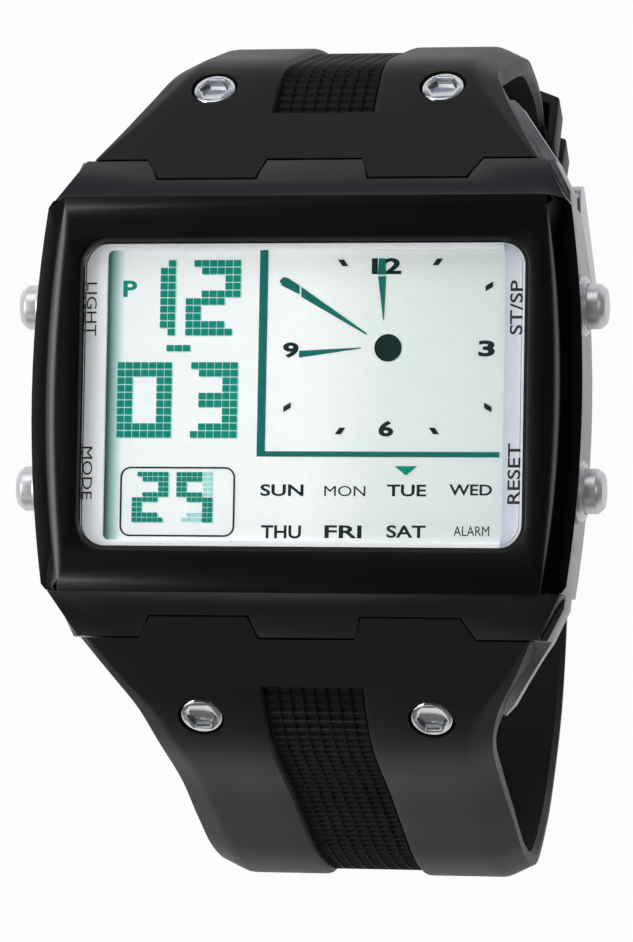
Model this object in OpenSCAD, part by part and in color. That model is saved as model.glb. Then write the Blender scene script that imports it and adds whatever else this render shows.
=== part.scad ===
// A digital wristwatch with a wide black bezel, a steel case and a rubber strap, closed as worn.
// The dial faces up, twelve o'clock is towards +Y and three o'clock towards +X.
// The origin is the centre of the case back's outer face.

/* [Case] */
// Width across the bezel's sides at three and nine o'clock
bezel_w = 50.8; // [50:0.2:51.6]
// Distance between the bezel's two end ridges
bezel_l = 35.5; // [35.2:0.1:36]
// Height of the bezel's front face above the case back
case_h = 13.5; // [13.3:0.1:14.2]
// Height of the bezel, with the part that sits inside the steel sides
bezel_h = 4.5; // [4.3:0.1:4.7]
// Height of the bezel's black sides above the steel
black_h = 2.1; // [1.9:0.1:2.3]
// How far each side bows out between its ends
side_bow = 1.3; // [1:0.1:1.5]
// How far the bezel's sides lean in towards the front
side_lean = 2.1; // [1.8:0.1:2.3]
// How far the steel sides are set in from the bezel's lower edge
steel_inset = 0.2; // [0.1:0.1:0.4]
// How far the steel sides lean in towards the back
steel_lean = 0.5; // [0.3:0.1:0.7]
// Wall of the steel sides round the bezel
skirt_t = 1.2; // [1:0.1:1.4]
// Radius of the ridge at each end of the bezel
ridge_r = 1.2; // [0.8:0.1:1.6]
// Length of the sloping shoulder beyond each ridge
shoulder_l = 4.09; // [3.9:0.05:4.3]
// Slope of the shoulders and of the strap's ends, in degrees
shoulder_slope = 36; // [34:1:38]

/* [Window] */
// Width of the bezel's face at each side of the window
side_frame = 4.7; // [4.5:0.1:4.9]
// Length of the window in the bezel
window_l = 28.4; // [28:0.1:28.8]
// Corner radius of the window
window_r = 2.6; // [2:0.1:3]
// Thickness of the watch glass
glass_t = 1.2; // [1:0.1:1.3]
// Width of the gasket round the glass
gasket_w = 0.35; // [0.3:0.05:0.45]
// Width of the silver flange at each side of the display
side_flange = 2.35; // [2:0.05:2.7]
// Width of the silver flange at each end of the display
end_flange = 1; // [0.85:0.05:1.1]

/* [Push buttons] */
// Diameter of a button's head
button_d = 4.1; // [3.8:0.1:4.2]
// How far a button stands out of its collar
button_out = 1.7; // [1.5:0.1:2.1]
// Distance of each button from the line through three and nine o'clock
button_y = 8.35; // [8:0.05:8.7]
// Travel of a button
button_travel = 0.8; // [0.6:0.1:0.9]
// Diameter of a button's stem
stem_d = 1.8; // [1.6:0.1:1.9]

/* [Strap] */
// Width of the strap where it meets the case
strap_root_w = 41.2; // [40.4:0.2:41.6]
// Width of the strap past its taper
strap_w = 30.6; // [30:0.2:31.2]
// Width of the strap at the buckle
tail_w = 27.6; // [27:0.2:28.2]
// How far the strap hangs below its roots at the case
strap_drop = 69.7; // [69:0.1:71]
// Thickness of the strap near the case
strap_t = 3.1; // [2.9:0.1:3.3]
// Thickness of the strap at the buckle
tail_t = 2.2; // [2:0.1:2.4]
// How far the strap's sides flare out behind its screws
root_flare = 0.6; // [0.4:0.1:0.8]
// Width of the facet along each edge of the strap
facet_w = 2.5; // [2.2:0.1:3.2]
// Depth of that facet at the strap's edge
facet_drop = 1.2; // [1:0.1:1.5]
// Distance of the strap screws from the watch's centre line
strap_screw_x = 10.75; // [10:0.25:11.5]
// Diameter of a strap screw's head
strap_screw_d = 4.2; // [3.8:0.1:4.4]
// Length of an adjusting hole along the strap
hole_l = 3.4; // [3.2:0.1:3.8]
// Width of an adjusting hole
hole_w = 2.4; // [2.2:0.1:2.6]

/* [Buckle] */
// Width across the buckle frame
buckle_w = 33; // [32.6:0.2:34]
// Thickness of the frame's arms
arm_t = 2; // [1.8:0.1:2.1]
// Diameter of the buckle's front bar
front_bar_d = 2.2; // [2:0.1:2.4]
// Diameter of the spring bar
spring_bar_d = 1.5; // [1.3:0.1:1.6]
// Width of the tongue
tongue_w = 1.8; // [1.6:0.1:2]
// Width of each keeper along the strap
keeper_w = 3.4; // [3:0.2:3.6]
// Wall of each keeper
keeper_t = 0.9; // [0.7:0.1:1.1]

/* [Inside] */
// Thickness of the case back
back_t = 1; // [0.9:0.05:1.1]
// Diameter of the coin cell
cell_d = 20; // [19.6:0.1:20.2]
// Thickness of the coin cell
cell_t = 2.5; // [2:0.1:2.6]
// Thickness of the display glass
lcd_t = 1.6; // [1.4:0.1:1.7]
// Thickness of the silver display mask
mask_t = 0.5; // [0.4:0.05:0.6]
// Thickness of the circuit board
board_t = 0.8; // [0.7:0.05:1]

/* [Hidden] */
$fn = 48;

// Gaps and small sizes
eps = 0.01;
fit_gap = 0.05;
seat_gap = 0.2;
run_gap = 0.3;
pivot_gap = 0.06;
big = 200;
round_fn = 360;

// Heights of the stack behind the glass, from the front down
steel_h = case_h - bezel_h;
skirt_z = case_h - black_h;
glass_sink = 0.1;
ledge_t = 0.5;
ledge_w = 0.45;
view_r = 0.5;
glass_z = case_h - glass_sink - glass_t;
mask_z = glass_z - ledge_t - mask_t;
lcd_z = mask_z - lcd_t;
backlight_t = 0.4;
board_drop = 2.4;
board_z = lcd_z - board_drop - board_t;
frame_z = back_t + seat_gap;
cell_gap = 0.45;
cell_z = board_z - cell_gap - cell_t;

// Outline of the case
window_w = bezel_w - 2 * side_frame;
cavity_w = window_w + 1.8;
cavity_l = window_l + 2;
cavity_r = 3.5;
steel_w = bezel_w - 2 * steel_inset;
back_lip = 0.3;
back_w = cavity_w + 2.6;
back_l = cavity_l + 3.4;
back_r = 2;
corner_cut = 0.5;
steel_corner_cut = 0.2;
seal_w = cavity_w + 1.1;
seal_l = cavity_l + 1.1;
seal_r = cavity_r + 0.55;
seal_t = 0.5;
end_y = bezel_l / 2 + shoulder_l;
shoulder_step = 0.775;
shoulder_z = case_h - shoulder_step - ridge_r;
root_z = shoulder_z - shoulder_l * tan(shoulder_slope);
shelf_z = root_z - 1.15;
shoulder_w = strap_root_w + 1.4;
shoulder_base_w = bezel_w - 2 * side_bow - 2 * corner_cut;
shoulder_neck_w = steel_w - 2 * side_bow - 2 * skirt_t - 0.2;
tab_tip_y = end_y - 1.8;
tab_in_x = 5.25;
tab_out_x = 14.3;
tab_in_slant = 0.8;
tab_out_slant = 1.3;
tab_gap = 0.15;

// Plans of the pieces inside
lcd_w = cavity_w - 4;
lcd_l = cavity_l - 2.4;
board_w = lcd_w - 2;
board_l = lcd_l - 1.4;
zebra_w = 1;
zebra_l = board_w - 3.2;
zebra_y = board_l / 2 - 0.15 - zebra_w / 2;
frame_w = cavity_w - 2.8;
frame_l = cavity_l - 1.6;
frame_r = 1.5;
pocket_w = board_w - 2.2;
pocket_l = board_l - 1.8;
small_r = 0.3;
chip_r = 3.6;
chip_at = [board_w / 2 - chip_r - 5.5, chip_r + 2.7 - board_l / 2];
chip_h = 0.9;
can_r = 0.75;
can_l = 6;
can_at = [board_w / 2 - can_l - 6.6, board_l / 2 - can_r - 4.55];
cell_x = cell_d / 2 + 1.8 - board_w / 2;
clip_plate_t = 0.3;
clip_plate_w = 8;
clip_plate_l = pocket_l + 1.2;
disc_x = 3;
disc_r = 9;
disc_t = 0.25;
ceramic_r = 6;
ceramic_t = 0.12;
contact_w = 2.4;
contact_t = 0.2;
contact_foot = 2;

// Screws that hold the back, the steel case and the bezel together
back_screw_r = 0.7;
back_screw_x = cavity_w / 2 - 0.2;
back_screw_y = cavity_l / 2 + 0.2;
back_screw_grip = 2.2;
back_screw_head_r = 1.2;
back_screw_head_h = 0.6;
back_screw_sink = 0.1;
hole_gap = 0.1;

// Buttons
button_r = button_d / 2;
sleeve_bore_r = button_r + pivot_gap;
sleeve_r = sleeve_bore_r + 0.62;
boss_r = sleeve_r + 0.25;
button_z = skirt_z - boss_r - hole_gap - fit_gap;
button_side_x = steel_w / 2 - side_bow * pow(button_y / (bezel_l / 2), 2)
    - steel_lean * (skirt_z - button_z) / (skirt_z - back_lip);
sleeve_floor_x = cavity_w / 2 + 0.35;
sleeve_floor_t = 0.6;
spring_x = sleeve_floor_x + sleeve_floor_t;
head_in_x = spring_x + 0.8 + button_travel;
sleeve_out_x = button_side_x + 0.65;
button_reach = sleeve_out_x + button_out;
clip_t = 0.35;
clip_r = 1.6;
clip_slot_w = 0.9;
groove_r = stem_d / 2 - 0.25;
clip_x = cavity_w / 2 - seat_gap - clip_t;
stem_in_x = clip_x - 0.95;
contact_x = stem_in_x - button_travel - 0.3;
PUSHERS = [[-1, 1], [-1, -1], [1, 1], [1, -1]];

// Strap runs: distance outwards and height from its root, then the shares of the width
// at the root, of the width at the buckle and of the thickness there. The run is that of
// the strap's outer face, drawn for a strap that hangs down by drawn_drop.
drawn_drop = 69.7;
run_scale = strap_drop / drawn_drop;
UPPER_ROWS = [
    [0, 0, 1, 0, 0], [3.5, -2.6, 0.6, 0, 0], [7.1, -5.5, 0.23, 0, 0], [10.05, -9, 0, 0, 0],
    [12.1, -16.6, 0, 0, 0.1], [14, -25.9, 0, 0, 0.3], [14.1, -34.5, 0, 0.4, 0.6],
    [12.5, -42.6, 0, 0.65, 0.9], [9.4, -49.6, 0, 1, 1], [3.4, -57.4, 0, 1, 1]
];
LOWER_ROWS = [
    [0, 0, 1, 0, 0], [3.4, -2.4, 0.66, 0, 0], [6.9, -5.15, 0.28, 0, 0], [10.25, -9.2, 0.08, 0, 0],
    [13.8, -17.6, 0, 0, 0.1], [17.15, -24.8, 0, 0, 0.3], [20.3, -32.3, 0, 0.05, 0.5],
    [21.3, -41, 0, 0.1, 0.7], [17.6, -50, 0, 0.33, 0.9], [12.75, -57.8, 0, 0.63, 1],
    [4.9, -65, 0, 0.83, 1], [-5, -69.4, 0, 1, 1], [-14, -69.7, 0, 1, 1],
    [-22, -69.7, 0, 1, 1], [-29, -69.2, 0, 1, 1], [-36, -65.9, 0, 1, 1], [-42.5, -63.1, 0, 1, 1]
];
root_y = end_y + 0.15;
tail_gap = 0.45;
tail_over = [[1, 1], [0.94, 1], [0.88, 1.2], [0.83, 2.6]];
rest_cut = 0.25;
strap_end_chamfer = 0.5;

function unit(v) = v / norm(v);
function mixed(a, b, share) = a + (b - a) * share;
function spline(a, b, c, d, t) =
    0.5 * (2 * b + (c - a) * t + (2 * a - 5 * b + 4 * c - d) * t * t
    + (3 * b - a - 3 * c + d) * t * t * t);
function along(run, u) =
    let (last = len(run) - 1, s = min(max(u, 0), 0.99999) * last, i = floor(s))
    spline(run[max(i - 1, 0)], run[i], run[i + 1], run[min(i + 2, last)], s - i);
function place(run, u) = let (p = along(run, u)) [p[0], p[1]];
function heading(run, u) = unit(place(run, u + 0.002) - place(run, u - 0.002));
function outward(run, u) = let (d = heading(run, u)) [-d[1], d[0]];
function flipped(p) = [-p[0], p[1]];
function arc_points(centre, r, from, to, steps) =
    [for (i = [0:steps]) centre + r * [cos(mixed(from, to, i / steps)), sin(mixed(from, to, i / steps))]];

function hung(rows) =
    [for (r = rows) [root_y + run_scale * r[0], root_z + run_scale * r[1], r[2], r[3], r[4]]];
UPPER = hung(UPPER_ROWS);
function over_upper(u, share) =
    let (p = place(UPPER, u) + (tail_gap + tail_t) * outward(UPPER, u)) [-p[0], p[1], 0, share, 1];
LOWER = concat(hung(LOWER_ROWS), [for (t = tail_over) over_upper(t[0], t[1])]);
rest_z = root_z - strap_drop + rest_cut;
function at_row(run, row) = row / (len(run) - 1);

// Screws through the strap. Each end is its run and the screws' place in rows along it.
TWELVE_END = [UPPER, 2.09];
SIX_END = [LOWER, 2.05];
screw_head_h = 1.2;
screw_shank_r = 1;
screw_sink = 0.1;
screw_l = strap_t + 1.4;
hex_d = 2.9;
hex_h = 0.8;

// Buckle
spring_bar_r = spring_bar_d / 2;
front_bar_r = front_bar_d / 2;
wrap_r = tail_t / 2 + 0.2;
bar_at = place(UPPER, 1) - tail_t / 2 * outward(UPPER, 0.9999);
bar_out = outward(UPPER, 0.9999);
bar_on = heading(UPPER, 0.9999);
front_u = 0.765;
front_at = flipped(place(LOWER, front_u) + (front_bar_r + 0.4) * outward(LOWER, front_u));
front_far = norm(front_at - bar_at);
front_angle = atan2(front_at[1] - bar_at[1], front_at[0] - bar_at[0]);
arm_end_r = 1.8;
bar_cover = 0.5;
pivot_r = spring_bar_r + pivot_gap;
tongue_ring_r = spring_bar_r + 0.55;
tongue_t = 1;
tongue_seat = 0.45;
tongue_rise_s = 2.6;
tongue_high = tail_t / 2 + tail_gap + tail_t + 0.5;
fixed_keeper_u = 0.95;
sliding_keeper_u = 0.89;

// A band goes round both straps, from inside the short half to outside the long half's tail
keeper_low = -tail_t - run_gap;
keeper_high = tail_gap + tail_t + run_gap;
keeper_half_w = tail_w / 2 + run_gap;

// Adjusting holes sit this far along the lower half, and the used one this far past the spring bar
HOLE_US = [0.56, 0.605, 0.65, 0.695];
tongue_hole_s = tongue_rise_s - 0.8;

// A rounded rectangle standing on z = 0
module pad(w, l, r, h) {
    linear_extrude(h) union() {
        square([w - 2 * r, l], center = true);
        square([w, l - 2 * r], center = true);
        for (x = [-1, 1], y = [-1, 1])
            translate([x * (w / 2 - r), y * (l / 2 - r)]) circle(r);
    }
}

// A block whose two sides bow out in plan and lean in by lean over its height
module bowed_block(w, lean, z_low, z_high, over = 0) {
    half_l = bezel_l / 2;
    r = (half_l * half_l + side_bow * side_bow) / (2 * side_bow);
    h = z_high - z_low;
    intersection() {
        intersection_for (turn = [0, 180]) rotate(turn) translate([r - w / 2, 0, z_low])
            cylinder(r1 = r, r2 = r - lean, h = h, $fn = round_fn);
        translate([-w / 2, -half_l - over, z_low]) cube([w, bezel_l + 2 * over, h]);
    }
}

// Plan of a case part with its four corners cut off, for intersecting
module cut_corners(w, c, z_low, z_high) {
    x = w / 2 - side_bow;
    y = bezel_l / 2;
    far = 2;
    translate([0, 0, z_low]) linear_extrude(z_high - z_low)
        polygon([[x - c, -y], [x + far, c + far - y], [x + far, y - c - far], [x - c, y],
                 [c - x, y], [-x - far, y - c - far], [-x - far, c + far - y], [c - x, -y]]);
}

// A profile drawn in Y and Z, drawn out along X
module drawn_x(w) {
    rotate([90, 0, 90]) translate([0, 0, -w / 2]) linear_extrude(w) children();
}

// The same thing at both ends of the watch
module both_ends() {
    children();
    mirror([0, 1, 0]) children();
}

// Something at each of the four screws that hold the case together
module each_back_screw() {
    for (x = [-1, 1], y = [-1, 1]) translate([x * back_screw_x, y * back_screw_y, 0]) children();
}

// Something drawn for the three o'clock side and axis X, put at one button
module at_button(place_of) {
    translate([0, place_of[1] * button_y, button_z])
        mirror([place_of[0] < 0 ? 1 : 0, 0, 0]) children();
}

module rod_x(r, from, to) {
    translate([from, 0, 0]) rotate([0, 90, 0]) cylinder(r = r, h = to - from);
}

// The shoulder's slope as a profile in Y and Z, from its foot to its root
module shoulder_profile() {
    y = bezel_l / 2;
    polygon([[y - 2, steel_h], [y + fit_gap, steel_h], [y + fit_gap, shelf_z], [end_y, shelf_z],
             [end_y, root_z], [y, shoulder_z], [y - 2, shoulder_z]]);
}

// Plan of the shoulder at the twelve o'clock end: a neck between the steel sides, then full width
module shoulder_plan() {
    y = bezel_l / 2;
    for (side = [-1, 1]) scale([side, 1])
        polygon([[0, y - 2], [shoulder_neck_w / 2, y - 2], [shoulder_neck_w / 2, y + fit_gap],
                 [shoulder_base_w / 2, y + fit_gap], [shoulder_w / 2, end_y], [0, end_y]]);
}

// Plan of the strap's two tabs, which sit in notches of the shoulder
module tab_plan(grow, to_y) {
    for (side = [-1, 1]) scale([side, 1])
        polygon([[tab_in_x - grow, tab_tip_y - grow], [tab_out_x + grow, tab_tip_y - grow],
                 [tab_out_x + tab_out_slant + grow, to_y], [tab_in_x - tab_in_slant - grow, to_y]]);
}

// The bezel's ends as a profile in Y and Z, with a round ridge at each
module ridge_profile() {
    y = bezel_l / 2 - ridge_r;
    z = case_h - ridge_r;
    polygon(concat([[-bezel_l / 2, steel_h], [bezel_l / 2, steel_h]],
                   arc_points([y, z], ridge_r, 0, 90, 6), arc_points([-y, z], ridge_r, 90, 180, 6)));
}

module bezel() color("#1d1e22") {
    difference() {
        union() {
            intersection() {
                union() {
                    bowed_block(bezel_w, side_lean, skirt_z, case_h);
                    bowed_block(steel_w - 2 * skirt_t - 2 * fit_gap, 0, steel_h, skirt_z + 0.5);
                }
                cut_corners(bezel_w, corner_cut, steel_h, case_h);
                drawn_x(bezel_w) ridge_profile();
            }
            both_ends() intersection() {
                drawn_x(bezel_w) shoulder_profile();
                translate([0, 0, shelf_z - 1]) linear_extrude(case_h) shoulder_plan();
            }
        }
        translate([0, 0, glass_z]) pad(window_w, window_l, window_r, case_h);
        translate([0, 0, glass_z - ledge_t - eps])
            pad(window_w - 2 * ledge_w, window_l - 2 * ledge_w, window_r - ledge_w, ledge_t + 1);
        translate([0, 0, shelf_z - 1])
            pad(cavity_w, cavity_l, cavity_r, glass_z - ledge_t - shelf_z + 1);
        both_ends() translate([0, 0, shelf_z - 1]) linear_extrude(case_h) tab_plan(tab_gap, end_y + 1);
        for (p = PUSHERS) at_button(p) rod_x(boss_r + hole_gap, cavity_w / 2 - 1, bezel_w / 2 + 1);
        each_back_screw() translate([0, 0, steel_h - 1])
            cylinder(r = back_screw_r, h = back_screw_grip + 1);
    }
}

module crystal() color("#dfe8ea", 0.4) {
    chamfer = 0.25;
    w = window_w - 2 * gasket_w;
    l = window_l - 2 * gasket_w;
    r = window_r - gasket_w;
    translate([0, 0, glass_z]) pad(w, l, r, glass_t - chamfer);
    translate([0, 0, glass_z + glass_t - chamfer])
        pad(w - 2 * chamfer, l - 2 * chamfer, r - chamfer, chamfer);
}

module crystal_gasket() color("#17181a") {
    translate([0, 0, glass_z]) difference() {
        pad(window_w, window_l, window_r, glass_t - 0.1);
        translate([0, 0, -1])
            pad(window_w - 2 * gasket_w, window_l - 2 * gasket_w, window_r - gasket_w, glass_t + 2);
    }
}

module display_mask() color("#c6c6cb") {
    translate([0, 0, mask_z]) difference() {
        pad(cavity_w - 2 * run_gap, cavity_l - 2 * run_gap, cavity_r - run_gap, mask_t);
        translate([0, 0, -1])
            pad(window_w - 2 * side_flange, window_l - 2 * end_flange, view_r, mask_t + 2);
    }
}

module lcd_panel() color("#dfe6e4") {
    translate([0, 0, lcd_z]) pad(lcd_w, lcd_l, small_r, lcd_t);
}

module backlight_panel() color("#cfe3da") {
    translate([0, 0, lcd_z - backlight_t])
        pad(board_w - 2 * seat_gap, 2 * zebra_y - zebra_w - 2 * seat_gap, small_r, backlight_t);
}

module zebra_connectors() color("#b98d8d") {
    for (side = [-1, 1]) translate([-zebra_l / 2, side * zebra_y - zebra_w / 2, board_z + board_t])
        cube([zebra_l, zebra_w, board_drop]);
}

module side_contacts() color("#c9a45a") {
    top = board_z + board_t;
    for (p = PUSHERS) translate([0, p[1] * button_y - contact_w / 2, top])
        mirror([p[0] < 0 ? 1 : 0, 0, 0]) {
            translate([contact_x - contact_foot, 0, 0]) cube([contact_foot, contact_w, contact_t]);
            translate([contact_x - contact_t, 0, 0]) cube([contact_t, contact_w, lcd_z - top - 0.5]);
        }
}

module module_frame() color("#e9e9e6") {
    notch_w = 2 * (clip_r + run_gap);
    notch_h = 2 * (lcd_z - button_z + clip_r + run_gap);
    notch_deep = frame_w - 2 * (contact_x - 0.5);
    clip_z = cell_z - clip_plate_t;
    difference() {
        translate([0, 0, frame_z]) pad(frame_w, frame_l, frame_r, lcd_z - frame_z);
        translate([0, 0, board_z]) pad(board_w + hole_gap, board_l + hole_gap, small_r, lcd_z);
        translate([0, 0, frame_z - 1]) pad(pocket_w, pocket_l, 1, board_z);
        for (p = PUSHERS) translate([p[0] * frame_w / 2, p[1] * button_y, lcd_z])
            cube([notch_deep, notch_w, notch_h], center = true);
        translate([cell_x, 0, clip_z + clip_plate_t / 2])
            cube([clip_plate_w + hole_gap, clip_plate_l + hole_gap, clip_plate_t + hole_gap],
                 center = true);
    }
}

module circuit_board() color("#1f6a45") {
    translate([0, 0, board_z]) pad(board_w, board_l, small_r, board_t);
}

module controller_chip() color("#141414") {
    translate([chip_at[0], chip_at[1], board_z - chip_h]) cylinder(r1 = chip_r - 1, r2 = chip_r, h = chip_h);
}

module quartz_crystal() color("#b9bcc0") {
    translate([can_at[0], can_at[1], board_z - can_r]) rod_x(can_r, 0, can_l);
}

module coin_cell() color("#c4c6c8") {
    rim = 0.35;
    translate([cell_x, 0, cell_z]) {
        cylinder(d = cell_d - 3, h = rim);
        translate([0, 0, rim]) cylinder(d = cell_d, h = cell_t - rim);
    }
}

module battery_clip() color("#b4b7ba") {
    translate([cell_x - clip_plate_w / 2, -clip_plate_l / 2, cell_z - clip_plate_t])
        cube([clip_plate_w, clip_plate_l, clip_plate_t]);
}

module buzzer_disc() color("#c9a04a") {
    translate([disc_x, 0, back_t]) cylinder(r = disc_r, h = disc_t);
    translate([disc_x, 0, back_t + disc_t]) cylinder(r = ceramic_r, h = ceramic_t);
}

// A coil of round wire along Z as one unbroken tube
module coil(r, wire_r, length, turns) {
    sides = 5;
    steps = 10;
    rings = turns * steps;
    climb = (length - 2 * wire_r) / rings;
    points = [for (i = [0:rings], k = [0:sides - 1])
        let (a = i * 360 / steps, b = k * 360 / sides)
        [(r + wire_r * cos(b)) * cos(a), (r + wire_r * cos(b)) * sin(a),
         wire_r + i * climb + wire_r * sin(b)]];
    sides_faces = [for (i = [0:rings - 1], k = [0:sides - 1])
        let (a = i * sides + k, b = i * sides + (k + 1) % sides, c = a + sides, d = b + sides)
        each [[a, b, d], [a, d, c]]];
    caps = [for (k = [1:sides - 2]) each
        [[0, k + 1, k], [rings * sides, rings * sides + k, rings * sides + k + 1]]];
    polyhedron(points, concat(sides_faces, caps));
}

module buzzer_spring() color("#c4c6c8") {
    foot = back_t + disc_t + ceramic_t;
    coil_r = 1.2;
    coil_wire_r = 0.2;
    coil_turns = 4;
    translate([disc_x + ceramic_r - coil_r - 2 * coil_wire_r, 0, foot])
        coil(coil_r, coil_wire_r, board_z - foot, coil_turns);
}

// The steel case's lug behind the strap, for the twelve o'clock side
module lug(end) {
    y = bezel_l / 2;
    plate_t = 1.2;
    lug_w = strap_root_w - 6.4;
    lug_l = 6.6;
    lug_cut = 0.5;
    lug_drop = 4;
    under = strap_t + fit_gap;
    run = end[0];
    us = [for (row = [1.08, 1.8, 2.52]) at_row(run, row)];
    upper_side = [for (u = us) place(run, u) - under * outward(run, u)];
    lower_side = [for (i = [2, 1, 0]) upper_side[i] - plate_t * outward(run, us[i])];
    tip = (upper_side[2] + lower_side[0]) / 2 + 0.9 * heading(run, us[2]);
    lug_low_z = shelf_z - lug_drop;
    side_x = steel_w / 2 - side_bow - 0.3;
    intersection() {
        drawn_x(bezel_w) polygon(concat(
            [[y - 2, shelf_z], [end_y, shelf_z], [end_y, root_z - under / cos(shoulder_slope)]],
            upper_side, [tip], lower_side, [[y, lug_low_z], [y - 2, lug_low_z]]));
        translate([0, 0, -big / 2]) linear_extrude(big) polygon([
            [-side_x, y - 0.5], [-side_x, y - 2], [side_x, y - 2], [side_x, y - 0.5],
            [side_x - 0.2, y + 1.2], [shoulder_w / 2 + 0.65, end_y],
            [lug_w / 2 + lug_cut, end_y + lug_l - 2 * lug_cut], [lug_w / 2 - lug_cut, end_y + lug_l],
            [lug_cut - lug_w / 2, end_y + lug_l], [-lug_w / 2 - lug_cut, end_y + lug_l - 2 * lug_cut],
            [-shoulder_w / 2 - 0.65, end_y], [0.2 - side_x, y + 1.2]]);
    }
}

module mid_case() color("#86868c") {
    difference() {
        union() {
            difference() {
                intersection() {
                    bowed_block(steel_w - 2 * steel_lean, -steel_lean, back_lip, skirt_z);
                    cut_corners(steel_w, steel_corner_cut, back_lip, skirt_z);
                }
                bowed_block(steel_w - 2 * skirt_t, 0, steel_h, case_h, 1);
            }
            lug(TWELVE_END);
            mirror([0, 1, 0]) lug(SIX_END);
            for (p = PUSHERS) at_button(p) rod_x(boss_r, cavity_w / 2 - 1, button_side_x);
        }
        translate([0, 0, back_t]) pad(cavity_w, cavity_l, cavity_r, case_h);
        translate([0, 0, -1]) pad(back_w + hole_gap, back_l + hole_gap, back_r, back_t + 1);
        translate([0, 0, back_t]) pad(seal_w + hole_gap, seal_l + hole_gap, seal_r, seal_t);
        each_back_screw() cylinder(r = back_screw_r + hole_gap, h = case_h);
        for (p = PUSHERS) at_button(p) rod_x(sleeve_r, cavity_w / 2 - 2, bezel_w / 2 + 1);
        each_strap_screw() translate([0, 0, -2 * screw_l])
            cylinder(r = screw_shank_r, h = 2 * screw_l);
    }
}

module case_back() color("#9a9b9f") {
    difference() {
        pad(back_w, back_l, back_r, back_t);
        each_back_screw() translate([0, 0, -1]) {
            cylinder(r = back_screw_head_r + hole_gap, h = back_screw_head_h + back_screw_sink + 1);
            cylinder(r = back_screw_r + hole_gap, h = back_t + 2);
        }
    }
}

module case_back_gasket() color("#202022") {
    translate([0, 0, back_t]) difference() {
        pad(seal_w, seal_l, seal_r, seal_t);
        translate([0, 0, -1]) pad(cavity_w + hole_gap, cavity_l + hole_gap, cavity_r, seal_t + 2);
    }
}

module case_back_screws() color("#c9cbce") {
    cross_l = 1.6;
    cross_w = 0.3;
    cross_h = 0.4;
    each_back_screw() translate([0, 0, back_screw_sink]) difference() {
        union() {
            cylinder(r = back_screw_head_r, h = back_screw_head_h);
            cylinder(r = back_screw_r, h = steel_h + back_screw_grip - back_screw_sink - seat_gap);
        }
        for (turn = [0, 90]) rotate(turn) translate([-cross_l / 2, -cross_w / 2, -1])
            cube([cross_l, cross_w, cross_h + 1]);
    }
}

module pusher_sleeves() color("#b9bbc0") {
    for (p = PUSHERS) at_button(p) difference() {
        union() {
            rod_x(sleeve_r, sleeve_floor_x, sleeve_out_x - 0.2);
            rod_x(sleeve_r - 0.2, sleeve_floor_x, sleeve_out_x);
        }
        rod_x(sleeve_bore_r, spring_x, sleeve_out_x + 1);
        rod_x(stem_d / 2 + pivot_gap, sleeve_floor_x - 1, spring_x + 1);
    }
}

module pusher_seals() color("#202022") {
    seal_r = 0.25;
    for (p = PUSHERS) at_button(p) translate([spring_x + seal_r, 0, 0]) rotate([0, 90, 0])
        rotate_extrude() translate([stem_d / 2 + 0.04 + seal_r, 0]) circle(seal_r);
}

module pusher(place_of) color("#c8cace") {
    bevel = 0.6;
    at_button(place_of) {
        difference() {
            rod_x(stem_d / 2, stem_in_x, head_in_x + 0.5);
            difference() {
                rod_x(stem_d, clip_x, clip_x + clip_t);
                rod_x(groove_r, clip_x - 1, clip_x + 1);
            }
        }
        rotate([0, 90, 0]) rotate_extrude() polygon([
            [0, head_in_x], [button_r, head_in_x], [button_r, button_reach - bevel],
            [button_r - bevel * 0.8, button_reach], [0, button_reach]]);
    }
}

module pusher_clip(place_of) color("#8e9095") {
    at_button(place_of) difference() {
        rod_x(clip_r, clip_x, clip_x + clip_t);
        rod_x(groove_r, clip_x - 1, clip_x + 1);
        translate([clip_x - 1, -clip_slot_w / 2, 0]) cube([2, clip_slot_w, clip_r + 1]);
    }
}

module pusher_spring(place_of) color("#c4c6c8") {
    wire_r = 0.13;
    at_button(place_of) translate([spring_x, 0, 0]) rotate([0, 90, 0])
        coil(sleeve_bore_r - wire_r - 0.1, wire_r, head_in_x - spring_x, 3);
}

// A strap half: a ring of eight points at each step along its run
function half_w(p) =
    strap_w / 2 + p[2] * (strap_root_w - strap_w) / 2 - p[3] * (strap_w - tail_w) / 2;
function thick(p) = mixed(strap_t, tail_t, p[4]);
function facet(p) = 1 - 0.9 * p[2];
function strap_ring(run, u) =
    let (p = along(run, u), n = outward(run, u), blend = min(1, u * (len(run) - 1) / 1.5),
         lay = unit(mixed([0, 1], n, blend)), deep = thick(p) / (lay * n), w = half_w(p),
         row = u * (len(run) - 1), g = w + root_flare * max(0, min(1, row / 0.8, 3.4 - row)),
         f = w - facet_w * facet(p), d = facet_drop * facet(p), c = strap_end_chamfer)
    [for (q = [[f, 0], [w, -d], [g, c - deep], [g - c, -deep],
               [c - g, -deep], [-g, c - deep], [-w, -d], [-f, 0]])
        [q[0], p[0] + q[1] * lay[0], p[1] + q[1] * lay[1]]];
module strap_run(run, steps) {
    points = [for (i = [0:steps]) each strap_ring(run, i / steps)];
    last = 8 * steps;
    sides = [for (i = [0:steps - 1], k = [0:7])
        let (a = 8 * i + k, b = 8 * i + (k + 1) % 8) each [[a, b + 8, b], [a, a + 8, b + 8]]];
    caps = [for (k = [1:6]) each [[0, k, k + 1], [last, last + k + 1, last + k]]];
    polyhedron(points, concat(sides, caps));
}

// The strap's tabs, level with the shoulder
module strap_tabs() {
    y = bezel_l / 2;
    intersection() {
        translate([0, 0, shelf_z + 0.1]) linear_extrude(case_h) tab_plan(0, root_y + 0.6);
        drawn_x(bezel_w) polygon([[y, shelf_z], [root_y + 0.6, shelf_z],
            [root_y + 0.6, root_z - 0.6 * tan(shoulder_slope)], [y, shoulder_z]]);
    }
}

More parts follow.
